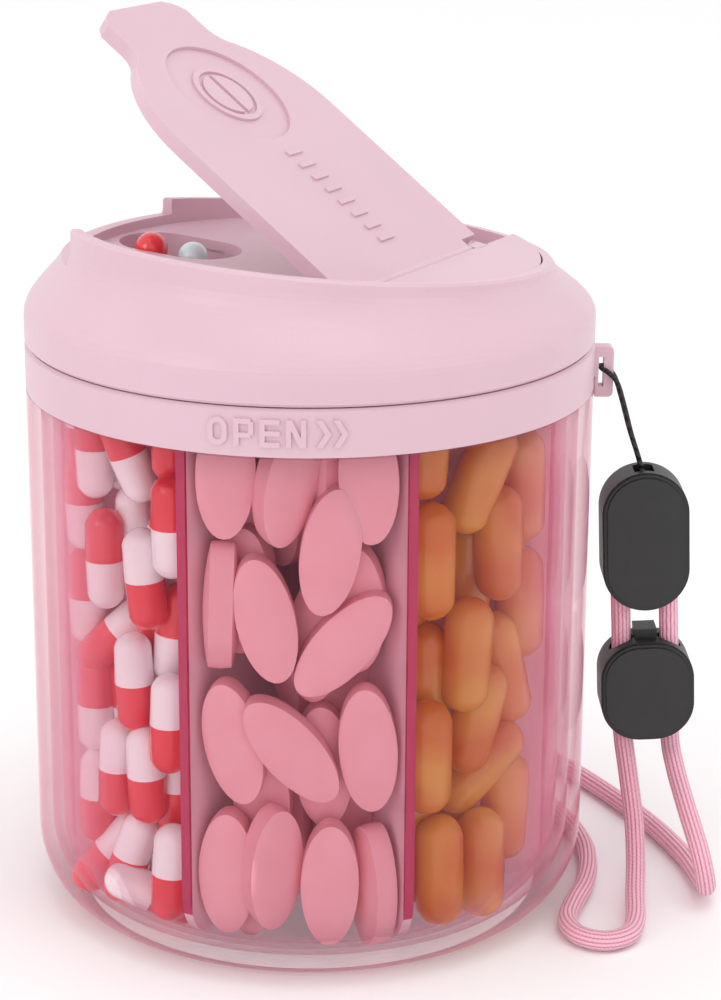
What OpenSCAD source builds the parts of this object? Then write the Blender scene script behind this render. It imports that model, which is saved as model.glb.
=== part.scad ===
// Round pill organiser: a clear jar with seven wedge compartments under a turning
// dispenser cap with a flip lid, and a wrist lanyard on the cap's collar.
// Millimetres, +Z up, origin at the centre of the base, front towards -Y.

/* [Container] */
// Outer diameter of the container
body_d = 90; // [80:1:110]
// Height of the container up to the collar's lower edge
body_h = 84.7; // [60:0.5:120]
// Wall of the container
wall = 2.2; // [1.8:0.1:3]
// Thickness of the container's floor
base_t = 2.2; // [2:0.1:5]
// Width of the rounded bottom edge
edge_w = 7.4; // [5:0.1:10]
// Height of the rounded bottom edge
edge_h = 11; // [7:0.1:14]
// Height of the threaded neck
neck_h = 6.8; // [6.6:0.1:9]
// Wall of the neck
neck_wall = 1.2; // [1.1:0.1:1.6]

/* [Compartments] */
// Number of compartments
compartments = 7; // [3:1:9]
// Thickness of each divider
divider_t = 1.5; // [1:0.1:2.5]
// Wall of the clear liner cup
liner_wall = 0.8; // [0.7:0.1:1.2]
// Radius of the post that joins the dividers
hub_r = 3.2; // [2:0.1:6]

/* [Collar] */
// Height of the collar outside
collar_h = 7.2; // [7:0.1:9]
// Depth of the screw threads
thread_t = 0.95; // [0.7:0.05:1]
// Rise of the cap in one full turn
thread_lead = 27; // [24:0.5:30]
// Number of thread ramps
thread_starts = 4; // [3:1:4]
// Reach of the strap loop beyond the collar
loop_reach = 3.2; // [3.2:0.1:5]
// Height of the raised word and arrows
mark_h = 4.1; // [3:0.1:4.5]

/* [Dome] */
// Height of the rim's centre above the seam
rim_h = 15.5; // [14.5:0.1:18]
// Outer radius of the rim
rim_r = 38.2; // [37:0.1:39]
// Fall of the rim over its radius
rim_dip = 3.75; // [0:0.05:4]
// Direction in which the rim falls, counted from +X
rim_fall = 31; // [0:1:60]
// Thickness of the rim
rim_t = 1.7; // [1.6:0.1:3]
// Thickness of the recess floor
floor_t = 1.6; // [1.2:0.1:2]

/* [Flip lid] */
// Length of the lid from its hinge to the tip of the tab
lid_l = 63.6; // [60:0.1:64]
// Greatest width of the lid
lid_w = 43; // [40:0.5:44]
// Thickness of the lid
lid_t = 2.4; // [2:0.1:3]
// Width of the finger tab
tab_w = 21.6; // [16:0.1:22]
// Angle of the lid above level as it stands open
lid_open = 35; // [4:1:60]
// Diameter of the hinge pin
pin_d = 1.4; // [1.2:0.1:1.6]

/* [Mouth] */
// Length of the dispensing mouth
mouth_l = 21.4; // [14:0.1:22]
// Width of the dispensing mouth
mouth_w = 13; // [8:0.5:14]

/* [Lanyard] */
// Diameter of the braided cord
cord_d = 3.2; // [2.4:0.1:3.4]
// Diameter of the string
string_d = 0.8; // [0.5:0.1:0.9]
// Width of the cord connector
connector_w = 14; // [13:0.1:14.6]
// Height of the cord connector
connector_h = 23.4; // [22:0.1:25]
// Thickness of the cord connector
connector_t = 8; // [6:0.1:9]
// Width of the cord adjuster
adjuster_w = 15.2; // [14:0.1:16]
// Height of the cord adjuster
adjuster_h = 17; // [15:0.1:17.4]
// Thickness of the cord adjuster
adjuster_t = 9; // [7:0.1:10]

/* [Hidden] */
$fn = 96;

fit = 0.05;         // radial clearance of a pin that turns in its hole
play = 0.35;        // gap between pieces that turn or slide past each other
seam_gap = 0.2;     // visible gap between the collar and the dome
cut = 1;            // how far a cutting shape runs past the surface it cuts
eps = 0.01;         // overlap of shapes joined in one piece

// Container and liner
body_r = body_d / 2;
neck_r = body_r - 2.6;
neck_top = body_h + neck_h;
neck_in = neck_r - neck_wall;
liner_r = neck_in - 0.2;
liner_in = liner_r - liner_wall;
liner_base = base_t + 0.3;
flange_t = 1;
flange_r = neck_r - 0.4;
divider_base = liner_base + liner_wall + 0.1;
divider_top = neck_top - 0.5;
divider_r = liner_in - 0.3;
first_divider = -118.7;
step = 360 / compartments;

// Collar
collar_low = body_h + 0.3;
seam_z = collar_low + collar_h;
collar_in = neck_r + thread_t + 0.35;
spigot_in = flange_r + 0.3;
spigot_r = spigot_in + 1;
spigot_top = seam_z + 4.4;
gasket_low = neck_top + flange_t + 0.05;
gasket_t = 0.9;
shelf_low = gasket_low + gasket_t + 0.05;
shelf_t = 1.2;
shelf_in = liner_in - 0.5;
lip_t = 0.9;
lip_r = spigot_r + 0.4;
thread_h = 1.1;
thread_arc = 26;
thread_slope = atan(thread_lead / (2 * PI * neck_r));
thread_z = collar_low + 3;

// Dome, in the upright frame
dome_low = seam_z + seam_gap;
dome_in = lip_r + 0.3;
band_top = seam_z + 4.3;
flare_low = 80;
flare_high = 112;
ring_h = 0.9;
ring_low = spigot_top - lip_t - ring_h - 0.3;
ring_in = spigot_r + 0.15;
ring_out = dome_in + 0.35;
cavity_top = spigot_top + 0.4;
rim_z = seam_z + rim_h;
recess_r = rim_r - rim_t;

// Hinge: the lid points away from it, along lid_turn
lid_turn = 148.3;
hinge_back = 18.9;
hinge_z = seam_z + 11.8;
knuckle_r = lid_t / 2 + 0.2;
knuckle_l = lid_w - 9;
ear_t = 3.2;
pin_l = knuckle_l + 2 * ear_t + 0.4;
head_at = 35;
floor_slope = 2.6;
floor_drop = knuckle_r + 1;
notch_floor = seam_z + 13.4;
notch_side = tab_w / 2 + 1.2;
notch_sweep = 48.7;
panel_slope = 2.3;

// Mouth
mouth_at = 43.4;
chute_wall = 1.2;
deck_t = 1.2;
deck_low = neck_top + 0.4;
deck_r = shelf_in - 0.5;
deck_rim_r = spigot_in - play;
deck_rim_low = shelf_low + shelf_t + play;
deck_rim_t = 1.2;
plug_gap = 0.7;
plug_h = 3.4;
socket_wall = 1;
socket_low = cavity_top + 1.5;

// Lanyard frame: its origin is the middle of the connector's top edge
hang_at = [body_r + 8.7, 0, body_h - 14.7];
hang_tilt = -2.6;
strand_x = 3.9;
adjuster_top = 28.8;
cord_hole = cord_d + 0.8;
loop_bar = 1.5;
loop_w = 2.4;
loop_top = collar_low + 5.3;
loop_low = collar_low - 2.9;
string_pin_r = 0.6;

// Route of the braided cord: out of the connector, through the adjuster, down to the
// surface, once round behind the container, and back up to the connector.
cord_route = [[50.5, 0, 53.8], [50.7, 0, 49.5], [51.2, 0, 40], [51.6, 0, 30], [52, 0, 24],
    [53, -1.4, 17], [53.8, -4.6, 10.4], [53.6, -10.6, 5.6], [52.8, -17.5, 3], [52, -25, 1.9],
    [50.2, -29.8, 1.8], [46.4, -31.8, 1.8], [42.6, -29.8, 1.8], [41.2, -25, 1.8],
    [42.6, -19, 1.8], [45.2, -11.4, 1.8], [46.6, -3, 1.8], [46.4, 5.6, 1.8],
    [43.6, 16.8, 1.8], [37.4, 28, 1.8], [28, 37.6, 1.8], [17.4, 44.2, 1.8], [8.8, 49.6, 1.8],
    [5.4, 55.6, 1.8], [9.4, 61, 1.8], [17, 62.4, 1.8], [27, 58.4, 1.8], [36, 51, 1.8],
    [43.8, 41.4, 1.8], [50.3, 30.8, 1.8], [58.4, 14, 1.8], [63, 0, 1.8], [64.7, -10.6, 2.1],
    [64.3, -17, 4.6], [63, -17.6, 10.4], [61.4, -11, 15.6], [60.4, -3.8, 19.4], [59.8, 0, 23.8],
    [59.2, 0, 36], [58.3, 0, 53.8]];

// Route of the string: from the connector's pin round the bar of the strap loop and back
string_route = [[53.9, -0.1, 65.8], [53.9, -0.8, 66.1], [53.8, -1.1, 66.9], [53.7, -1, 68.2],
    [52.9, -1, 71.5], [51.4, -1.3, 76], [50, -1.7, 81],
    [48.8, -1.9, 84.6], [47.4, -1.8, 86.2], [46.4, -1, 86.7], [46.3, 0, 86.8],
    [46.4, 1, 86.7], [47.4, 1.8, 86.2], [48.8, 1.9, 84.6], [50, 1.7, 81],
    [51.4, 1.3, 76], [52.9, 1, 71.5], [53.7, 1, 68.2], [53.8, 1.1, 66.9], [53.9, 0.8, 66.1],
    [53.9, 0.1, 65.8]];

// A point a share t of the way from p1 to p2 on the smooth curve through four points
function smooth_at(p0, p1, p2, p3, t) =
    0.5 * (2 * p1 + (p2 - p0) * t + (2 * p0 - 5 * p1 + 4 * p2 - p3) * t * t
    + (3 * p1 - p0 - 3 * p2 + p3) * t * t * t);

// The route with extra points between its own, each piece cut in parts
function smooth_route(p, parts) = let (n = len(p) - 1)
    [for (i = [0 : n - 1], k = [0 : parts - 1])
        smooth_at(p[max(i - 1, 0)], p[i], p[i + 1], p[min(i + 2, n)], k / parts), p[n]];

function unit(v) = v / norm(v);
function heading(p, i) = unit(p[min(i + 1, len(p) - 1)] - p[max(i - 1, 0)]);

// Side directions carried along the route, each turned as little as it can be
function sides(p, i = 0, last = [0, 1, 0], made = []) =
    i == len(p) ? made
    : let (h = heading(p, i), s = unit(last - (last * h) * h))
        sides(p, i + 1, s, concat(made, [s]));

// A tube of diameter d that follows the points p
module tube(p, d, n = 8) {
    s = sides(p);
    rings = [for (i = [0 : len(p) - 1])
        let (b = cross(heading(p, i), s[i]))
        for (k = [0 : n - 1]) p[i] + d / 2 * (cos(360 * k / n) * s[i] + sin(360 * k / n) * b)];
    walls = [for (i = [0 : len(p) - 2], k = [0 : n - 1])
        let (a = i * n + k, b = i * n + (k + 1) % n) each [[a, a + n, b], [b, a + n, b + n]]];
    last = (len(p) - 1) * n;
    ends = [[for (k = [0 : n - 1]) k], [for (k = [n - 1 : -1 : 0]) last + k]];
    polyhedron(rings, concat(walls, ends));
}

// Ring between two radii, standing on z
module ring(inner, outer, z, h) {
    translate([0, 0, z]) difference() {
        cylinder(r = outer, h = h);
        translate([0, 0, -cut]) cylinder(r = inner, h = h + 2 * cut);
    }
}

// Outline of a cup's outside with a rounded bottom edge, to be spun round the axis
function cup_side(r, low, top, w, h) =
    [[0, low], for (t = [0 : 9 : 90]) [r - w + w * sin(t), low + h * (1 - cos(t))],
     [r, top], [0, top]];

module cup(r, low, top, w, h) rotate_extrude() polygon(cup_side(r, low, top, w, h));

// One thread ramp, standing on a wall of radius inner
module ramp(inner, outer, z) {
    for (k = [0 : thread_starts - 1]) rotate([0, 0, 45 + k * 360 / thread_starts])
        translate([0, 0, z]) rotate([thread_slope, 0, 0]) rotate([0, 0, -thread_arc / 2])
            rotate_extrude(angle = thread_arc) translate([inner, -thread_h / 2])
                square([outer - inner, thread_h]);
}

// Frames: the hinge (X along the lid, Y along the pin), the lid, the floor and the lanyard
module hinge_frame() rotate([0, 0, lid_turn]) translate([-hinge_back, 0, hinge_z]) children();
module lid_frame() hinge_frame() rotate([0, -lid_open, 0]) children();
module floor_frame() hinge_frame() rotate([0, -floor_slope, 0])
    translate([0, 0, -floor_drop]) children();
module hang_frame() translate(hang_at) rotate([0, hang_tilt, 0]) children();

// Long round-ended outline along X
module slot(l, w) {
    for (side = [-1, 1]) translate([side * (l - w) / 2, 0]) circle(d = w);
    square([l - w, w], center = true);
}

module container_shell() color([0.95, 0.72, 0.76, 0.45]) {
    inner_r = body_r - wall;
    difference() {
        union() {
            cup(body_r, 0, body_h, edge_w, edge_h);
            translate([0, 0, body_h - eps]) cylinder(r = neck_r, h = neck_h + eps);
            ramp(neck_r - 0.3, neck_r + thread_t, thread_z);
        }
        cup(inner_r, base_t, body_h - 4, edge_w - 1, edge_h - 1.5);
        translate([0, 0, body_h - 4 - eps]) cylinder(r1 = inner_r, r2 = neck_in, h = 3);
        translate([0, 0, body_h - 2]) cylinder(r = neck_in, h = neck_h + 2 + cut);
    }
}

module compartment_liner() color([0.98, 0.84, 0.86, 0.4]) difference() {
    union() {
        cup(liner_r, liner_base, neck_top + flange_t, edge_w - 1.4, edge_h - 2);
        translate([0, 0, neck_top]) cylinder(r = flange_r, h = flange_t);
    }
    cup(liner_in, liner_base + liner_wall, neck_top + flange_t + cut, edge_w - 2, edge_h - 3);
}

module divider_star() color([0.84, 0.33, 0.46]) {
    side = cup_side(divider_r, divider_base, divider_top, edge_w - 2, edge_h - 3);
    translate([0, 0, divider_base + 0.3]) cylinder(r = hub_r, h = divider_top - divider_base - 0.6);
    for (k = [0 : compartments - 1]) rotate([0, 0, first_divider + k * step])
        translate([0, divider_t / 2, 0]) rotate([90, 0, 0]) linear_extrude(divider_t)
            polygon([for (p = side) [max(p[0], hub_r - 0.5), p[1]]]);
}

module gasket_ring() color([0.93, 0.9, 0.9])
    ring(shelf_in + 0.6, flange_r, gasket_low, gasket_t);

// Plate of the strap loop, flat in the XZ plane, with its opening
module strap_loop() translate([0, loop_w / 2, 0]) rotate([90, 0, 0]) linear_extrude(loop_w)
    difference() {
        translate([body_r + play, loop_low]) union() {
            square([loop_reach - 0.8 - play, loop_top - loop_low]);
            translate([0, 0.8]) square([loop_reach - play, loop_top - loop_low - 1.6]);
            for (z = [0.8, loop_top - loop_low - 0.8])
                translate([loop_reach - 0.8 - play, z]) circle(r = 0.8, $fn = 32);
        }
        translate([body_r + play + 0.5, loop_low + 1.7])
            square([loop_reach - loop_bar - play - 0.5, loop_top - loop_low - 3.4]);
    }

module collar() color([0.88, 0.74, 0.79]) {
    difference() {
        union() {
            translate([0, 0, collar_low]) cylinder(r = body_r, h = collar_h - 0.5);
            translate([0, 0, seam_z - 0.5]) cylinder(r1 = body_r, r2 = body_r - 0.5, h = 0.5);
            translate([0, 0, seam_z - eps]) cylinder(r = spigot_r, h = spigot_top - seam_z);
            translate([0, 0, spigot_top - lip_t]) cylinder(r = lip_r, h = lip_t);
        }
        translate([0, 0, collar_low - cut]) cylinder(r = collar_in, h = collar_h - 1 + cut);
        translate([0, 0, collar_low]) cylinder(r = neck_r + play, h = collar_h - 0.5);
        translate([0, 0, collar_low]) cylinder(r = spigot_in, h = shelf_low - collar_low);
        translate([0, 0, shelf_low - eps]) cylinder(r = shelf_in, h = shelf_t + 2 * eps);
        translate([0, 0, shelf_low + shelf_t]) cylinder(r = spigot_in, h = 2 * lip_r);
    }
    ramp(neck_r + play, collar_in + 0.3, thread_z - thread_h - 0.2);
    strap_loop();
    translate([body_r - 0.4, -loop_w / 2, collar_low + 0.4])
        cube([play + 0.8, loop_w, loop_top - collar_low - 0.4]);
    collar_marks();
}

// Raised strokes of the word and arrows, drawn in X and Z and set round the collar
mark_t = 0.75;
letter_w = 2.9;
letter_step = 3.75;
module stroke(x, z, w, h) translate([x, z]) square([w, h]);
module letter_o() difference() {
    slot_up(letter_w, mark_h);
    slot_up(letter_w - 2 * mark_t, mark_h - 2 * mark_t);
}
module slot_up(w, h) {
    for (side = [-1, 1]) translate([letter_w / 2, mark_h / 2 + side * (h - w) / 2])
        circle(d = w, $fn = 32);
    translate([letter_w / 2 - w / 2, mark_h / 2 - (h - w) / 2]) square([w, h - w]);
}
module letter_p() {
    stroke(0, 0, mark_t, mark_h);
    stroke(0, mark_h - mark_t, letter_w - 0.4, mark_t);
    stroke(0, mark_h / 2 - mark_t, letter_w - 0.4, mark_t);
    stroke(letter_w - mark_t, mark_h / 2 - mark_t + 0.4, mark_t, mark_h / 2 + mark_t - 0.8);
}
module letter_e() {
    stroke(0, 0, mark_t, mark_h);
    for (z = [0, (mark_h - mark_t) / 2, mark_h - mark_t]) stroke(0, z, letter_w, mark_t);
}
module letter_n() {
    stroke(0, 0, mark_t, mark_h);
    stroke(letter_w - mark_t, 0, mark_t, mark_h);
    polygon([[0, mark_h], [mark_t * 1.2, mark_h], [letter_w, 0], [letter_w - mark_t * 1.2, 0]]);
}
module chevron() polygon([[0, 0], [mark_t * 1.2, 0], [letter_w * 0.75, mark_h / 2],
    [mark_t * 1.2, mark_h], [0, mark_h], [letter_w * 0.75 - mark_t * 1.2, mark_h / 2]]);
module on_collar(x) rotate([0, 0, -90 + asin(x / body_r)])
    translate([body_r - 0.12, -letter_w / 2, collar_low + 1.6]) rotate([90, 0, 90])
        linear_extrude(0.5) children();

module collar_marks() {
    first = -13.2;
    on_collar(first) letter_o();
    on_collar(first + letter_step) letter_p();
    on_collar(first + 2 * letter_step) letter_e();
    on_collar(first + 3 * letter_step) letter_n();
    on_collar(first + 4.15 * letter_step) chevron();
    on_collar(first + 4.8 * letter_step) chevron();
}

module retaining_ring() color([0.93, 0.9, 0.9]) ring(ring_in, ring_out, ring_low, ring_h);

// Height of the rim at direction a
function rim_at(a) = rim_z - rim_dip * cos(a - rim_fall);

// Radius of the flare a share t of the way up from the band to the rim at direction a
function flare(a, t) = let (low = 0.5 + 0.5 * cos(a - rim_fall),
        turn = (flare_low * low + flare_high * (1 - low)) * t)
    rim_r + (body_r - rim_r) * pow(cos(min(turn, 90)), 2);

// Outside of the dome: upright rings for the band, then rings that lean over to the rim
function dome_ring(r, z, n) = [for (k = [0 : n - 1]) [r * cos(360 * k / n), r * sin(360 * k / n), z]];
function flare_ring(t, n) = [for (k = [0 : n - 1]) let (a = 360 * k / n, r = flare(a, t))
    [r * cos(a), r * sin(a), band_top + (rim_at(a) - 0.4 - band_top) * t]];
function top_ring(n) = [for (k = [0 : n - 1]) let (a = 360 * k / n, r = flare(a, 1) - 0.4)
    [r * cos(a), r * sin(a), rim_at(a)]];
module dome_outside() {
    n = 120;
    rows = [dome_ring(body_r - 0.5, dome_low, n), dome_ring(body_r, dome_low + 0.5, n),
        dome_ring(body_r, band_top, n), for (k = [1 : 14]) flare_ring(k / 14, n), top_ring(n)];
    walls = [for (i = [0 : len(rows) - 2], k = [0 : n - 1])
        let (a = i * n + k, b = i * n + (k + 1) % n) each [[a, a + n, b], [b, a + n, b + n]]];
    last = (len(rows) - 1) * n;
    ends = [[for (k = [0 : n - 1]) k], [for (k = [n - 1 : -1 : 0]) last + k]];
    polyhedron([for (row = rows) each row], concat(walls, ends));
}

module dome_cavity() intersection() {
    rotate_extrude() polygon([[0, dome_low - cut], [dome_in, dome_low - cut],
        [dome_in, cavity_top], [deck_rim_r - 0.2, cavity_top], [recess_r, cavity_top + 4.5],
        [0, cavity_top + 4.5]]);
    floor_frame() translate([-70, -70, -40 - floor_t]) cube([160, 140, 40]);
}

// Outline along the mouth, this much wider all round, at the mouth's place
module mouth_outline(wider) rotate([0, 0, lid_turn]) translate([mouth_at - hinge_back, 0])
    slot(mouth_l + 2 * wider, mouth_w + 2 * wider);

module dome_shell() color([0.94, 0.8, 0.85]) {
    difference() {
        dome_outside();
        dome_cavity();
        ring(dome_in - 1, ring_out + 0.05, ring_low - 0.05, ring_h + 0.1);
        intersection() {
            cylinder(r = recess_r, h = rim_z + 10);
            floor_frame() translate([-70, -70, 0]) cube([160, 140, 40]);
        }
        floor_frame() translate([mouth_at, 0, -floor_t - cut])
            linear_extrude(floor_t + 2 * cut) slot(mouth_l, mouth_w);
        rotate([0, 0, lid_turn]) translate([0, 0, notch_floor]) linear_extrude(20)
            polygon([[0, -notch_side], [60, -notch_side], [60, 60 * tan(notch_sweep)], [0, 0]]);
    }
    intersection() {
        translate([0, 0, socket_low]) linear_extrude(12) difference() {
            mouth_outline(chute_wall + socket_wall);
            mouth_outline(chute_wall);
        }
        floor_frame() translate([-70, -70, -40 - floor_t + eps]) cube([160, 140, 40]);
        cylinder(r = recess_r, h = 2 * rim_z);
    }
}

module dispensing_deck() color([0.9, 0.76, 0.81]) difference() {
    union() {
        translate([0, 0, deck_low]) cylinder(r = deck_r, h = deck_t);
        ring(deck_r - 1, deck_r, deck_low, deck_rim_low + deck_rim_t - deck_low);
        ring(deck_r - 1, deck_rim_r, deck_rim_low, deck_rim_t);
        intersection() {
            translate([0, 0, deck_low]) linear_extrude(20) mouth_outline(chute_wall);
            floor_frame() translate([-70, -70, -40 - floor_t]) cube([160, 140, 40]);
        }
    }
    translate([0, 0, deck_low - cut]) linear_extrude(30) mouth_outline(0);
}

// Fixed cover behind the hinge; a round ear at each end of the lid's knuckle holds the pin
module hinge_panel() color([0.93, 0.79, 0.84]) difference() {
    intersection() {
        cylinder(r = recess_r - 0.3, h = rim_z + 10);
        floor_frame() translate([-70, -70, 0]) cube([160, 140, 40]);
        union() {
            hinge_frame() rotate([0, -panel_slope, 0]) translate([-60 - knuckle_r, -70, lid_t / 2 - 40])
                cube([60, 140, 40]);
            for (side = [-1, 1]) hinge_frame() translate([0, side * (knuckle_l + ear_t + 0.4) / 2, 0]) {
                rotate([90, 0, 0]) cylinder(r = knuckle_r, h = ear_t, center = true);
                translate([-knuckle_r - 0.5, -ear_t / 2, -6]) cube([2 * knuckle_r + 0.5, ear_t, 6]);
                translate([-knuckle_r - 0.5, -ear_t / 2, -1]) cube([knuckle_r + 0.5, ear_t, 1 + lid_t / 2]);
            }
        }
    }
    hinge_frame() rotate([90, 0, 0]) cylinder(r = knuckle_r + play, h = knuckle_l + 0.4,
        center = true);
    hinge_frame() rotate([90, 0, 0]) cylinder(d = pin_d, h = pin_l, center = true);
}

module hinge_pin() color([0.8, 0.8, 0.82]) hinge_frame() rotate([90, 0, 0])
    cylinder(d = pin_d, h = pin_l, center = true);

// Plan of the lid: straight flanks, a round head and a finger tab
module lid_plan() offset(r = -5, $fn = 64) offset(delta = 5) union() {
    translate([2.2, -lid_w / 2 + 0.6]) square([6, lid_w - 1.2]);
    translate([5, -lid_w / 2]) square([head_at - 5, lid_w]);
    translate([head_at, 0]) circle(d = lid_w, $fn = 72);
    translate([head_at, -tab_w / 2]) square([lid_l - head_at - 4, tab_w]);
    for (side = [-1, 1]) translate([lid_l - 4.3, side * (tab_w / 2 - 4)]) circle(r = 4, $fn = 48);
    translate([lid_l - 8, 4 - tab_w / 2]) square([7.7, tab_w - 8]);
    translate([lid_l - 12, 6 - tab_w / 2]) square([12, tab_w - 12]);
}

dish_at = 42.2;
dish_r = 11.1;
dish_depth = 0.6;
module flip_lid() color([0.93, 0.79, 0.84]) lid_frame() {
    difference() {
        union() {
            translate([0, 0, -lid_t / 2]) linear_extrude(lid_t) lid_plan();
            translate([0, -knuckle_l / 2, -lid_t / 2]) cube([4, knuckle_l, lid_t]);
            rotate([90, 0, 0]) cylinder(r = knuckle_r, h = knuckle_l, center = true);
        }
        translate([dish_at, 0, lid_t / 2 - dish_depth]) cylinder(r = dish_r, h = cut);
        rotate([90, 0, 0]) cylinder(d = pin_d + 2 * fit, h = lid_w, center = true);
    }
    lid_marks();
}

// Raised tablet with a score line in the dish, and a row of short ribs along the lid
module lid_marks() {
    translate([dish_at, 0, lid_t / 2 - dish_depth - eps]) difference() {
        cylinder(r = 6.2, h = 0.46);
        translate([0, 0, -cut]) cylinder(r = 5.2, h = 3);
    }
    translate([dish_at, 0, lid_t / 2 - dish_depth - eps]) difference() {
        cylinder(r = 4.4, h = 0.46);
        translate([-10, -0.5, -cut]) cube([20, 1, 3]);
    }
    for (k = [0 : 7]) translate([7.2 + 2.9 * k - 0.45, -2, lid_t / 2 - eps]) cube([0.9, 4, 0.36]);
}

module mouth_plug() color([0.95, 0.86, 0.89]) lid_frame()
    translate([mouth_at, 0, -lid_t / 2 - plug_h]) linear_extrude(plug_h)
        slot(mouth_l - 2 * plug_gap - 1, mouth_w - 2 * plug_gap);

module string_loop() color([0.12, 0.12, 0.12]) tube(smooth_route(string_route, 2), string_d);

// Rounded outline, centred
module case_plan(w, h, r) {
    square([w - 2 * r, h], center = true);
    square([w, h - 2 * r], center = true);
    for (x = [-1, 1], y = [-1, 1]) translate([x * (w / 2 - r), y * (h / 2 - r)]) circle(r = r, $fn = 64);
}

// Half a case, its outer edge stepped in twice to round it
module case_shell(w, h, r, t, side) translate([0, 0, -h / 2]) rotate([90, 0, 0]) mirror([0, 0, side < 0 ? 0 : 1]) {
    half = t / 2;
    translate([0, 0, 0.02]) linear_extrude(half - 0.9 - 0.02) case_plan(w, h, r);
    translate([0, 0, half - 0.9 - eps]) linear_extrude(0.55) case_plan(w - 0.5, h - 0.5, r - 0.25);
    translate([0, 0, half - 0.4 - eps]) linear_extrude(0.4) case_plan(w - 1.5, h - 1.5, r - 0.75);
}

module connector_hollows() {
    for (x = [-strand_x, strand_x]) translate([x, 0, -connector_h - cut])
        cylinder(d = cord_d + 0.1, h = 7.5 + cut, $fn = 32);
    translate([-6, -1.6, -16.2]) cube([12, 3.2, 5.3]);
    translate([-1.6, -1.9, -5.4]) cube([3.2, 3.8, 5.4 + cut]);
    translate([-4, 0, -3.2]) rotate([0, 90, 0]) cylinder(r = string_pin_r, h = 8, $fn = 32);
}

module connector_shell(side) hang_frame() difference() {
    case_shell(connector_w, connector_h, connector_w / 2 - 0.01, connector_t, side);
    connector_hollows();
}
module connector_front_shell() color([0.22, 0.22, 0.22]) connector_shell(-1);
module connector_back_shell() color([0.2, 0.2, 0.2]) connector_shell(1);

module connector_pin() color([0.75, 0.75, 0.77]) hang_frame() translate([-4, 0, -3.2])
    rotate([0, 90, 0]) cylinder(r = string_pin_r, h = 8, $fn = 32);

module cord_clamp() color([0.75, 0.75, 0.77]) hang_frame() translate([-5.8, -1.5, -16.1])
    cube([11.6, 3, 5]);

module adjuster_hollows() {
    for (x = [-strand_x, strand_x]) translate([x, 0, -adjuster_h - cut])
        cylinder(d = cord_hole, h = adjuster_h + 2 * cut, $fn = 32);
    translate([-1.85, -1.6, -adjuster_h / 2 - 4]) cube([3.7, 4.4, adjuster_h]);
}
module adjuster_shell(side) hang_frame() translate([0, 0, -adjuster_top]) difference() {
    case_shell(adjuster_w, adjuster_h, 6.4, adjuster_t, side);
    adjuster_hollows();
}
module adjuster_front_shell() color([0.22, 0.22, 0.22]) adjuster_shell(-1);
module adjuster_back_shell() color([0.2, 0.2, 0.2]) adjuster_shell(1);
module adjuster_grip() color([0.25, 0.25, 0.25]) hang_frame()
    translate([-1.8, -1.5, -adjuster_top - adjuster_h / 2 - 3.9]) cube([3.6, 4.2, adjuster_h / 2 + 5.5]);

module lanyard_cord() color([0.96, 0.68, 0.76])
    tube(smooth_route(cord_route, 1), cord_d);

container_shell();
compartment_liner();
divider_star();
gasket_ring();
collar();
retaining_ring();
dome_shell();
dispensing_deck();
hinge_panel();
hinge_pin();
flip_lid();
mouth_plug();
string_loop();
connector_front_shell();
connector_back_shell();
connector_pin();
cord_clamp();
adjuster_front_shell();
adjuster_back_shell();
adjuster_grip();
lanyard_cord();
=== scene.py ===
"""A round pill organiser: a clear jar with a turning dispenser cap, a flip lid and a wrist lanyard."""

import math

import bmesh
import bpy
from mathutils import Matrix, Vector


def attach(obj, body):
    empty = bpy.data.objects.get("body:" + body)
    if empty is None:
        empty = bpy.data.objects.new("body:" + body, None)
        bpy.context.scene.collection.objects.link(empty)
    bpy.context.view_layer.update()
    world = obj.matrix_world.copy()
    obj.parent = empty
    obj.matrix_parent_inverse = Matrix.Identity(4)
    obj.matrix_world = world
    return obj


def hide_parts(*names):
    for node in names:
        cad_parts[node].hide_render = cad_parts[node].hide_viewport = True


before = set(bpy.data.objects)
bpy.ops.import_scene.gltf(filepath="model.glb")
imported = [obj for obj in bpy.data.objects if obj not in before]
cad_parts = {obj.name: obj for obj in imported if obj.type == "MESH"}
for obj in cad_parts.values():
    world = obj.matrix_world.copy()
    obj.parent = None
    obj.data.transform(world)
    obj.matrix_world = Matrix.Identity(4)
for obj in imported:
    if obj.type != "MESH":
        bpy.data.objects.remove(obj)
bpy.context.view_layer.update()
MM = 0.001

# ---------------------------------------------------------------- view
# A long lens a little above the jar, looking down at its front.
FOCAL_LENGTH = 96.63
LOOKING_DOWN = 17.59
STANDS_BACK = 413.4 * MM
STANDS_HIGH = 195.55 * MM
lens = bpy.data.cameras.new("front_view")
lens.lens = FOCAL_LENGTH
lens.sensor_width = 36
lens.shift_x = 0.0508
lens.clip_start = 0.01
viewer = bpy.data.objects.new("front_view", lens)
viewer.location = (0, -STANDS_BACK, STANDS_HIGH)
viewer.rotation_euler = (math.radians(90 - LOOKING_DOWN), 0, 0)
bpy.context.collection.objects.link(viewer)
bpy.context.scene.camera = viewer

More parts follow.
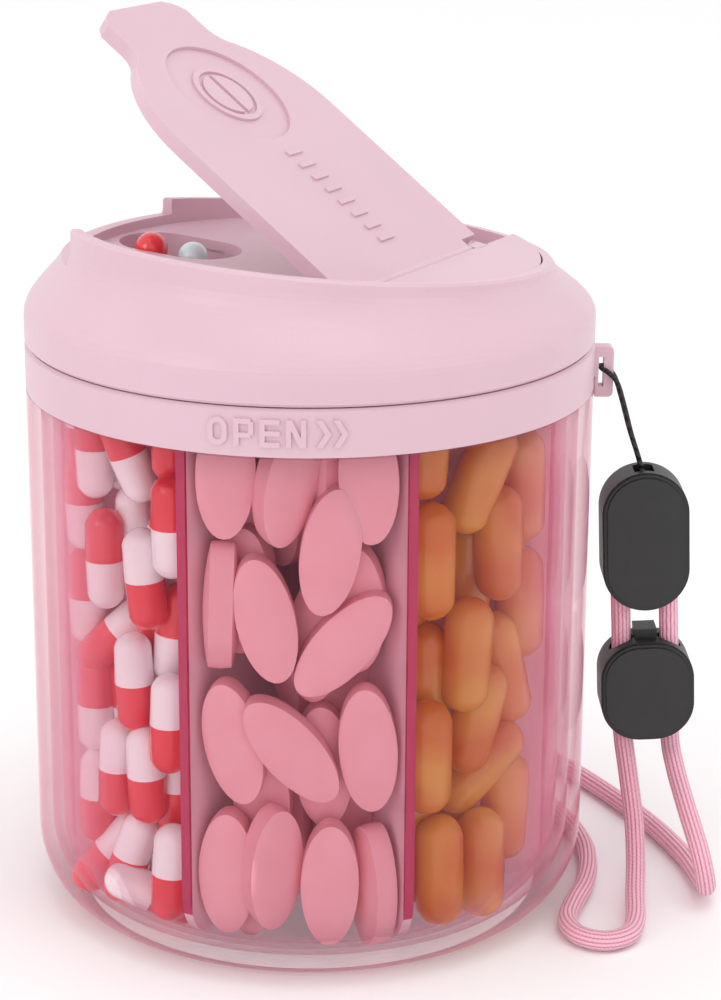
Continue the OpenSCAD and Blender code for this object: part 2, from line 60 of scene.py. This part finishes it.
# ---------------------------------------------------------------- braided cord
# One length of pink polyester braid. Both ends are clamped in the connector; it runs through the
# adjuster, round behind the jar on the table, and back up.
CORD_ACROSS = 3.2 * MM
CORD_ROUTE = [
    (50.5, 0, 53.8), (50.7, 0, 49.5), (51.2, 0, 40), (51.6, 0, 30), (52, 0, 24), (53, -1.4, 17),
    (53.8, -4.6, 10.4), (53.6, -10.6, 5.6), (52.8, -17.5, 3), (52, -25, 1.9), (50.2, -29.8, 1.8),
    (46.4, -31.8, 1.8), (42.6, -29.8, 1.8), (41.2, -25, 1.8), (42.6, -19, 1.8), (45.2, -11.4, 1.8),
    (46.6, -3, 1.8), (46.4, 5.6, 1.8), (43.6, 16.8, 1.8), (37.4, 28, 1.8), (28, 37.6, 1.8),
    (17.4, 44.2, 1.8), (8.8, 49.6, 1.8), (5.4, 55.6, 1.8), (9.4, 61, 1.8), (17, 62.4, 1.8),
    (27, 58.4, 1.8), (36, 51, 1.8), (43.8, 41.4, 1.8), (50.3, 30.8, 1.8), (58.4, 14, 1.8),
    (63, 0, 1.8), (64.7, -10.6, 2.1), (64.3, -17, 4.6), (63, -17.6, 10.4), (61.4, -11, 15.6),
    (60.4, -3.8, 19.4), (59.8, 0, 23.8), (59.2, 0, 36), (58.3, 0, 53.8)]


def lay_cord(name, route, across, steps=6):
    """A round cord along the route's points, smoothed between them."""
    points = [Vector(p) * MM for p in route]
    line = []
    for i in range(len(points) - 1):
        a, b = points[max(i - 1, 0)], points[i]
        c, d = points[i + 1], points[min(i + 2, len(points) - 1)]
        for k in range(steps):
            t = k / steps
            line.append(0.5 * (2 * b + (c - a) * t + (2 * a - 5 * b + 4 * c - d) * t * t
                               + (3 * b - a - 3 * c + d) * t ** 3))
    line.append(points[-1])
    shape = bpy.data.curves.new(name, "CURVE")
    shape.dimensions = "3D"
    shape.bevel_depth = 1
    shape.bevel_resolution = 6
    shape.use_fill_caps = True
    run = shape.splines.new("POLY")
    run.points.add(len(line) - 1)
    for dot, p in zip(run.points, line):
        dot.co = (*p, 1)
        dot.radius = across / 2
    run.use_smooth = True
    cord = bpy.data.objects.new(name, shape)
    bpy.context.collection.objects.link(cord)
    length = sum((q - p).length for p, q in zip(line, line[1:]))
    return cord, length


cord, cord_length = lay_cord("braided_cord", CORD_ROUTE, CORD_ACROSS)
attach(cord, "collar")
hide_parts("lanyard_cord")

# ---------------------------------------------------------------- black string
# A thin waxed string, looped over the collar's strap bar and round the connector's pin.
STRING_ROUTE = [
    (53.9, -0.1, 65.8), (53.9, -0.8, 66.1), (53.8, -1.1, 66.9), (53.7, -1, 68.2), (52.9, -1, 71.5),
    (51.4, -1.3, 76), (50, -1.7, 81), (48.8, -1.9, 84.6), (47.4, -1.8, 86.2), (46.4, -1, 86.7),
    (46.3, 0, 86.8), (46.4, 1, 86.7), (47.4, 1.8, 86.2), (48.8, 1.9, 84.6), (50, 1.7, 81),
    (51.4, 1.3, 76), (52.9, 1, 71.5), (53.7, 1, 68.2), (53.8, 1.1, 66.9), (53.9, 0.8, 66.1),
    (53.9, 0.1, 65.8)]
string, string_length = lay_cord("hitched_string", STRING_ROUTE, 0.8 * MM)
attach(string, "collar")
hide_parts("string_loop")


# ---------------------------------------------------------------- finishes
# Each finish is a node material; a wire is one of its sockets, and arithmetic on wires adds Math nodes.
class Wire:
    """A socket that can be added, subtracted, multiplied and raised to a power."""

    def __init__(self, finish, socket):
        self.finish = finish
        self.socket = socket

    def math(self, operation, *others):
        return self.finish.add("ShaderNodeMath", {"operation": operation},
                               dict(enumerate((self, *others))))

    def __add__(self, other):
        return self.math("ADD", other)

    def __sub__(self, other):
        return self.math("SUBTRACT", other)

    def __rsub__(self, other):
        return self.finish.add("ShaderNodeMath", {"operation": "SUBTRACT"}, {0: other, 1: self})

    def __mul__(self, other):
        return self.math("MULTIPLY", other)

    def __pow__(self, other):
        return self.math("POWER", other)

    __radd__ = __add__
    __rmul__ = __mul__


class Finish:
    """A material with one Principled skin and short calls to feed it."""

    def __init__(self, name, **shine):
        self.material = bpy.data.materials.new(name)
        self.material.use_nodes = True
        self.tree = self.material.node_tree
        self.skin = self.tree.nodes["Principled BSDF"]
        for socket, value in shine.items():
            self.skin.inputs[socket.replace("_", " ")].default_value = value

    def add(self, kind, settings=None, values=None, out=0):
        """A node of that kind, set, fed, and given back as a wire from its output."""
        node = self.tree.nodes.new(kind)
        for key, value in (settings or {}).items():
            setattr(node, key, value)
        for key, value in (values or {}).items():
            self.feed(node.inputs[key], value)
        return Wire(self, node.outputs[out])

    def feed(self, socket, value):
        if isinstance(value, Wire):
            self.tree.links.new(value.socket, socket)
        else:
            socket.default_value = value

    def place(self, kind="Object"):
        return self.add("ShaderNodeTexCoord", out=kind)

    def grain(self, size, detail=2.0, rough=0.5, vector=None):
        """Noise with features about that size, in metres."""
        return self.add("ShaderNodeTexNoise", {}, {"Vector": vector or self.place(), "Scale": 1 / size,
                                                   "Detail": detail, "Roughness": rough})

    def blend(self, share, first, second):
        mix = self.tree.nodes.new("ShaderNodeMix")
        mix.data_type = "RGBA"
        self.feed(mix.inputs["Factor"], share)
        self.feed(mix.inputs[6], first)
        self.feed(mix.inputs[7], second)
        return Wire(self, mix.outputs[2])

    def emboss(self, height, depth, strength=1.0):
        bump = self.add("ShaderNodeBump", {}, {"Height": height, "Distance": depth, "Strength": strength})
        self.feed(self.skin.inputs["Normal"], bump)

    def set(self, socket, value):
        self.feed(self.skin.inputs[socket], value)


def tint(red, green, blue):
    """A colour given as 0-255 display values."""
    def linear(c):
        c /= 255
        return c / 12.92 if c <= 0.04045 else ((c + 0.055) / 1.055) ** 2.4
    return (linear(red), linear(green), linear(blue), 1)


def wear(piece, finish):
    """Gives a piece, or a CAD node, one finish all over."""
    piece.data.materials.clear()
    piece.data.materials.append(finish.material)


# Braid: fourteen lengthwise ribs, each crossed by short slanting stitches.
BRAID_RIBS = 14
STITCH_LENGTH = 1.1 * MM
braid = Finish("braid", Roughness=0.62, Sheen_Weight=0.35, Sheen_Roughness=0.4, Specular_IOR_Level=0.3)
across = braid.add("ShaderNodeSeparateXYZ", {}, {0: braid.place("UV")}, out=1)
along = braid.add("ShaderNodeSeparateXYZ", {}, {0: braid.place("UV")}, out=0)
ribs = (across * (math.pi * BRAID_RIBS)).math("SINE").math("ABSOLUTE")
side = (across * BRAID_RIBS).math("FLOOR").math("MODULO", 2) * 2 - 1
slant = along * (cord_length / STITCH_LENGTH) + across * BRAID_RIBS * side * 0.6
stitch = (slant.math("FRACT") - 0.5).math("ABSOLUTE") * 2
weave = ribs ** 0.5 * 0.75 + (1 - stitch ** 3) * 0.25
braid.set("Base Color", braid.blend(weave, tint(232, 134, 162), tint(255, 196, 214)))
braid.emboss(weave, 0.35 * MM)
wear(cord, braid)

waxed = Finish("waxed_string", Roughness=0.5)
TWIST_LENGTH = 0.9 * MM
down = waxed.add("ShaderNodeSeparateXYZ", {}, {0: waxed.place("UV")}, out=0)
around = waxed.add("ShaderNodeSeparateXYZ", {}, {0: waxed.place("UV")}, out=1)
twist = ((down * (string_length / TWIST_LENGTH) + around) * (2 * math.pi)).math("SINE")
waxed.set("Base Color", waxed.blend(twist * 0.5 + 0.5, tint(12, 12, 13), tint(38, 38, 40)))
waxed.emboss(twist, 0.12 * MM)
wear(string, waxed)

# ---------------------------------------------------------------- cap
# Injection-moulded pink plastic with a very fine satin texture: collar, dome, lid, hinge cover, deck.
satin = Finish("pink_satin", Roughness=0.4, Specular_IOR_Level=0.3, Coat_Weight=0.06, Coat_Roughness=0.3,
               Subsurface_Weight=0.12, Subsurface_Radius=(0.006, 0.003, 0.003), Subsurface_Scale=0.3)
cloud = satin.grain(18 * MM, 1.0)
fine = satin.grain(0.16 * MM, 2.0)
satin.set("Base Color", satin.blend(cloud, tint(213, 179, 191), tint(219, 186, 198)))
satin.set("Roughness", cloud * 0.06 + fine * 0.06 + 0.3)
satin.emboss(fine, 0.004 * MM)
for node in ("collar", "dome_shell", "dispensing_deck", "hinge_panel", "flip_lid"):
    wear(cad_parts[node], satin)

# ---------------------------------------------------------------- black mouldings
# Connector and adjuster: two black halves each, moulded with a fine matt texture.
matt = Finish("black_matt", Roughness=0.5, Specular_IOR_Level=0.4)
speckle = matt.grain(0.22 * MM, 2.0)
matt.set("Base Color", matt.blend(matt.grain(6 * MM), tint(40, 40, 41), tint(48, 48, 49)))
matt.set("Roughness", speckle * 0.15 + 0.38)
matt.emboss(speckle, 0.012 * MM)
for node in ("connector_front_shell", "connector_back_shell", "adjuster_front_shell",
             "adjuster_back_shell", "adjuster_grip"):
    wear(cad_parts[node], matt)

# ---------------------------------------------------------------- hidden metal and seals
steel = Finish("drawn_steel", Metallic=1.0, Roughness=0.3)
steel.set("Base Color", steel.blend(steel.grain(0.5 * MM), tint(176, 176, 180), tint(200, 200, 204)))
for node in ("hinge_pin", "connector_pin", "cord_clamp"):
    wear(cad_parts[node], steel)
seal = Finish("soft_seal", Roughness=0.6)
seal.set("Base Color", seal.blend(seal.grain(3 * MM), tint(232, 206, 213), tint(240, 218, 224)))
for node in ("gasket_ring", "mouth_plug", "retaining_ring"):
    wear(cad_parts[node], seal)

# ---------------------------------------------------------------- clear jar
# The outer jar and the cup in it are blown clear pink plastic, tinted through: almost clear where seen
# face-on, and pinker where the walls are seen edge-on.
def clear_pink(name, through, edge, haze):
    clear = Finish(name, Roughness=0.08, Specular_IOR_Level=0.2)
    facing = clear.add("ShaderNodeLayerWeight", {}, {"Blend": 0.5}, out="Facing")
    ripple = clear.grain(26 * MM, 1.0)
    clear.set("Base Color", clear.blend(ripple, edge, tint(234, 150, 172)))
    share = (facing ** 4 * 1.2 + haze + ripple * 0.01).math("MINIMUM", 1)
    glass = clear.add("ShaderNodeBsdfTransparent", {}, {"Color": through})
    skin = Wire(clear, clear.skin.outputs[0])
    mixed = clear.add("ShaderNodeMixShader", {}, {0: share, 1: glass, 2: skin})
    clear.tree.links.new(mixed.socket, clear.tree.nodes["Material Output"].inputs["Surface"])
    return clear


jar_clear = clear_pink("clear_jar", tint(255, 252, 253), tint(210, 112, 138), 0.015)
cup_clear = clear_pink("clear_cup", tint(255, 253, 254), tint(228, 134, 158), 0.005)
wear(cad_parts["container_shell"], jar_clear)
wear(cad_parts["compartment_liner"], cup_clear)

# ---------------------------------------------------------------- dividers
# Seven thin blades of pale pink plastic on one post, pressed into the cup. Their outer edges, where
# the colour shows through the whole depth of a blade, look deep magenta.
RIM_STARTS = 39.3 * MM
divider = Finish("divider_rose", Roughness=0.25, Coat_Weight=0.2, Coat_Roughness=0.1)
position = divider.place()
east = divider.add("ShaderNodeSeparateXYZ", {}, {0: position}, out=0)
north = divider.add("ShaderNodeSeparateXYZ", {}, {0: position}, out=1)
outward = (east * east + north * north).math("SQRT")
rim = outward.math("GREATER_THAN", RIM_STARTS)
rose = divider.blend(divider.grain(20 * MM), tint(246, 206, 216), tint(250, 216, 224))
divider.set("Base Color", divider.blend(rim, rose, tint(190, 42, 90)))
wear(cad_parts["divider_star"], divider)


# ---------------------------------------------------------------- contents
# Hard capsules in two colours, long pressed tablets and amber softgels, three compartments full.
# Each entry is the middle's x, y, z in millimetres, the lean from upright, and for tablets the turn.
CAPSULES = [
    (-33.2, -15.7, 78.1, 0), (-31.8, -18, 60.7, 0), (-25.2, -26.2, 60.2, 175), (-20.8, -30, 69.8, 0),
    (-20.8, -26.7, 84.1, 180), (-30.4, -13, 46.6, -134), (-27.2, -24.2, 42.6, 178),
    (-34.2, -12.8, 34.6, 2), (-21.6, -29.1, 37.6, -179), (-25.5, -26, 27.7, 178),
    (-21.7, -29.3, 12.5, -177), (-27.6, -22.3, 79.1, -20), (-20.9, -23.1, 50.3, 7),
    (-35, -11.3, 80.5, 179), (-35.6, -8.6, 67.2, 0), (-35.4, -9.4, 51.6, 0), (-30.4, -20.4, 26.6, -178),
    (-34.2, -12.8, 18.6, -179), (-28.5, -21.8, 11.8, -162), (-27, -15, 20.5, 172),
    (-32.4, -15, 9.4, -140), (-22.6, -21, 9.5, -176), (-25, -24.5, 6.6, 115), (-21, -23.3, 24.4, -178),
    (-28.6, -13, 34.5, -4), (-24, -18.6, 51.2, 180), (-27.3, -15.5, 63.9, 180), (-22, -20, 66, 20),
    (-28, -12, 78, 10), (-22.5, -17.5, 36.5, 172)]
TABLETS = [
    (-12.4, -33.9, 79.6, -178, 0), (-3.4, -35.1, 78.6, -169, -30), (-13.3, -32.6, 58.3, -178, 90),
    (-6.6, -35, 57, 168, 0), (3.1, -35.4, 68, -171, 0), (-11.4, -33.5, 36.6, 169, 12),
    (-2.8, -35.7, 36.2, 140, 0), (5, -34.4, 52.8, -139, 0), (8.9, -34.7, 36, 176, 0),
    (-12.5, -33.4, 14.9, 180, 10), (-5.8, -35.7, 16.5, -176, -28), (3.1, -35.8, 14, -179, 0),
    (9.8, -33.3, 12.4, 178, 60), (8.7, -35, 79.1, 177, 0), (7.2, -30.7, 57.3, 178, 10),
    (1.2, -29.4, 51.9, -177, 10), (1.7, -30.7, 79.2, -179, 60), (-9.7, -28.9, 59.6, -177, 20),
    (2.1, -30.1, 31.3, 177, 0), (-7.2, -29.3, 25.9, 177, 10), (-9.7, -29.9, 12.6, 173, 30),
    (-4, -24, 72, 175, 40), (5, -24.5, 64, 5, 20), (-3, -22.5, 46, 170, 60), (4.5, -24, 40, 10, 30),
    (-2, -23, 22, 0, 80), (5, -25, 18, 8, 10), (-8, -25, 76, 4, 30), (7.5, -27, 78, 0, 60)]
SOFTGELS = [
    (32.8, -14.5, 71.6, 179), (33, -14.6, 52.4, 179), (29.2, -20.8, 64.2, 179), (25.8, -23.3, 75.5, -159),
    (17.1, -28.9, 83, -178), (18.2, -30.6, 64.5, 180), (24.2, -26.3, 47.9, -177), (30.1, -18, 42.7, 168),
    (18.1, -31, 32.8, 180), (26.7, -20, 26.5, -142), (20.3, -29.1, 12.8, 179), (15.5, -24.8, 14.5, 178),
    (14.8, -22.6, 59.7, 177), (24.7, -16.3, 57.9, -179), (17.8, -24.6, 43.2, 180),
    (25.9, -23.5, 36.2, -166), (13.1, -19.3, 34.4, 176), (31.2, -17, 18.5, -178),
    (27.2, -23.4, 11.5, 179), (22.5, -17.5, 12, 175)]


def stand(shape, verts, x, y, z, lean, turn=0):
    """Leans and turns a shape made upright at the origin, then puts its middle at x, y, z mm."""
    move = (Matrix.Translation(Vector((x, y, z)) * MM) @ Matrix.Rotation(math.radians(lean), 4, "Y")
            @ Matrix.Rotation(math.radians(turn), 4, "Z"))
    bmesh.ops.transform(shape, matrix=move, verts=verts)


def finished(name, shape, finish, body):
    """A mesh object from the shape, smooth, riding on a body."""
    mesh = bpy.data.meshes.new(name)
    shape.to_mesh(mesh)
    shape.free()
    for face in mesh.polygons:
        face.use_smooth = True
    piece = bpy.data.objects.new(name, mesh)
    bpy.context.collection.objects.link(piece)
    for one in finish if isinstance(finish, tuple) else (finish,):
        mesh.materials.append(one.material)
    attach(piece, body)
    return piece


def pill(shape, width, length, flat=1.0, around=20, rings=7):
    """A round-ended pill upright at the origin; flat squeezes it from front to back."""
    made = bmesh.ops.create_uvsphere(shape, u_segments=around, v_segments=2 * rings, radius=width / 2)
    verts = made["verts"]
    for vert in verts:
        if abs(vert.co.z) < 1e-7:
            continue
        vert.co.z += math.copysign((length - width) / 2, vert.co.z)
        vert.co.y *= flat
    return verts


red_half = Finish("capsule_red", Roughness=0.16, Coat_Weight=0.6, Coat_Roughness=0.06)
red_half.set("Base Color", red_half.blend(red_half.grain(4 * MM), tint(232, 40, 52), tint(242, 54, 64)))
white_half = Finish("capsule_white", Roughness=0.18, Coat_Weight=0.6, Coat_Roughness=0.06)
white_tone = white_half.blend(white_half.grain(4 * MM), tint(250, 240, 244), tint(255, 250, 251))
white_half.set("Base Color", white_tone)
shape = bmesh.new()
for x, y, z, lean in CAPSULES:
    verts = pill(shape, 6.3 * MM, 16.4 * MM, rings=6, around=18)
    for v in verts:
        if v.co.z < -1e-7:
            v.co.x *= 0.965
            v.co.y *= 0.965
    for face in {f for v in verts for f in v.link_faces}:
        face.material_index = 0 if face.calc_center_median().z > 0 else 1
    stand(shape, verts, x, y, z, lean)
finished("contents_capsules", shape, (red_half, white_half), "jar")

pressed = Finish("pressed_tablet", Roughness=0.42, Coat_Weight=0.15, Coat_Roughness=0.3,
                 Subsurface_Weight=0.2, Subsurface_Radius=(0.004, 0.002, 0.002), Subsurface_Scale=0.3)
powder = pressed.grain(0.3 * MM, 3.0)
pressed.set("Base Color", pressed.blend(pressed.grain(5 * MM), tint(240, 166, 176), tint(246, 180, 189)))
pressed.emboss(powder, 0.01 * MM)
shape = bmesh.new()
for x, y, z, lean, turn in TABLETS:
    verts = bmesh.ops.create_uvsphere(shape, u_segments=32, v_segments=16, radius=1)["verts"]
    for vert in verts:
        out = vert.co.x ** 2 + vert.co.y ** 2
        face = math.copysign(1.7 + 1.15 * (1 - out) ** 0.85, vert.co.z) if abs(vert.co.z) > 1e-6 else 0
        vert.co = Vector((vert.co.x * 4.55, face, vert.co.y * 10.2)) * MM
    stand(shape, verts, x, y, z, lean, turn)
bmesh.ops.recalc_face_normals(shape, faces=shape.faces)
tablets = finished("contents_tablets", shape, pressed, "jar")
tablets.data.set_sharp_from_angle(angle=math.radians(32))

amber = Finish("amber_gel", Roughness=0.04, Transmission_Weight=0.35, IOR=1.4, Coat_Weight=0.5,
               Coat_Roughness=0.03, Subsurface_Weight=0.3, Subsurface_Radius=(0.004, 0.002, 0.001),
               Subsurface_Scale=0.5)
depth = ((amber.grain(9 * MM, 0.0) - 0.35) * 3).math("MAXIMUM", 0).math("MINIMUM", 1)
amber.set("Base Color", amber.blend(depth, tint(238, 140, 38), tint(255, 188, 80)))
shape = bmesh.new()
for x, y, z, lean in SOFTGELS:
    verts = pill(shape, 7.8 * MM, 18.6 * MM, rings=7, around=22)
    stand(shape, verts, x, y, z, lean)
finished("contents_softgels", shape, amber, "jar")

# Two small round pills have come up into the mouth under the lid.
shape = bmesh.new()
verts = pill(shape, 5.4 * MM, 5.4001 * MM, around=28, rings=10)
stand(shape, verts, -25.5, 11, 103.5, 0)
finished("contents_red_ball", shape, red_half, "dome")
pale = Finish("pale_ball", Roughness=0.12, Coat_Weight=0.6)
pale.set("Base Color", pale.blend(pale.grain(3 * MM), tint(206, 230, 232), tint(226, 242, 243)))
shape = bmesh.new()
verts = pill(shape, 5 * MM, 5.0001 * MM, around=28, rings=10)
stand(shape, verts, -18.8, 11, 102.1, 0)
finished("contents_pale_ball", shape, pale, "dome")

# ---------------------------------------------------------------- table and light
# A plain pale table and soft studio light from above, both sides and behind.
shape = bmesh.new()
bmesh.ops.create_grid(shape, x_segments=1, y_segments=1, size=3)
mesh = bpy.data.meshes.new("table")
shape.to_mesh(mesh)
shape.free()
table = bpy.data.objects.new("table", mesh)
bpy.context.collection.objects.link(table)
paper = Finish("table_paper", Roughness=0.9, Specular_IOR_Level=0.1)
paper.set("Base Color", paper.blend(paper.grain(0.4), (0.98, 0.98, 0.98, 1), (0.96, 0.96, 0.96, 1)))
wear(table, paper)

world = bpy.data.worlds.new("studio")
world.use_nodes = True
world.node_tree.nodes["Background"].inputs["Color"].default_value = (1, 1, 1, 1)
world.node_tree.nodes["Background"].inputs["Strength"].default_value = 1.0
bpy.context.scene.world = world


def soft_light(name, place, aim, size, power):
    lamp = bpy.data.lights.new(name, "AREA")
    lamp.shape = "DISK"
    lamp.size = size
    lamp.energy = power
    holder = bpy.data.objects.new(name, lamp)
    holder.location = place
    holder.rotation_euler = (Vector(aim) - Vector(place)).to_track_quat("-Z", "Y").to_euler()
    bpy.context.collection.objects.link(holder)


soft_light("overhead", (0.1, -0.2, 0.9), (0, 0, 0.05), 0.5, 1.0)
soft_light("left_front", (-0.7, -0.6, 0.5), (0, 0, 0.06), 0.5, 1.3)
soft_light("right_front", (0.6, -0.5, 0.4), (0, 0, 0.06), 0.4, 0.3)

bpy.context.scene.view_settings.view_transform = "Standard"
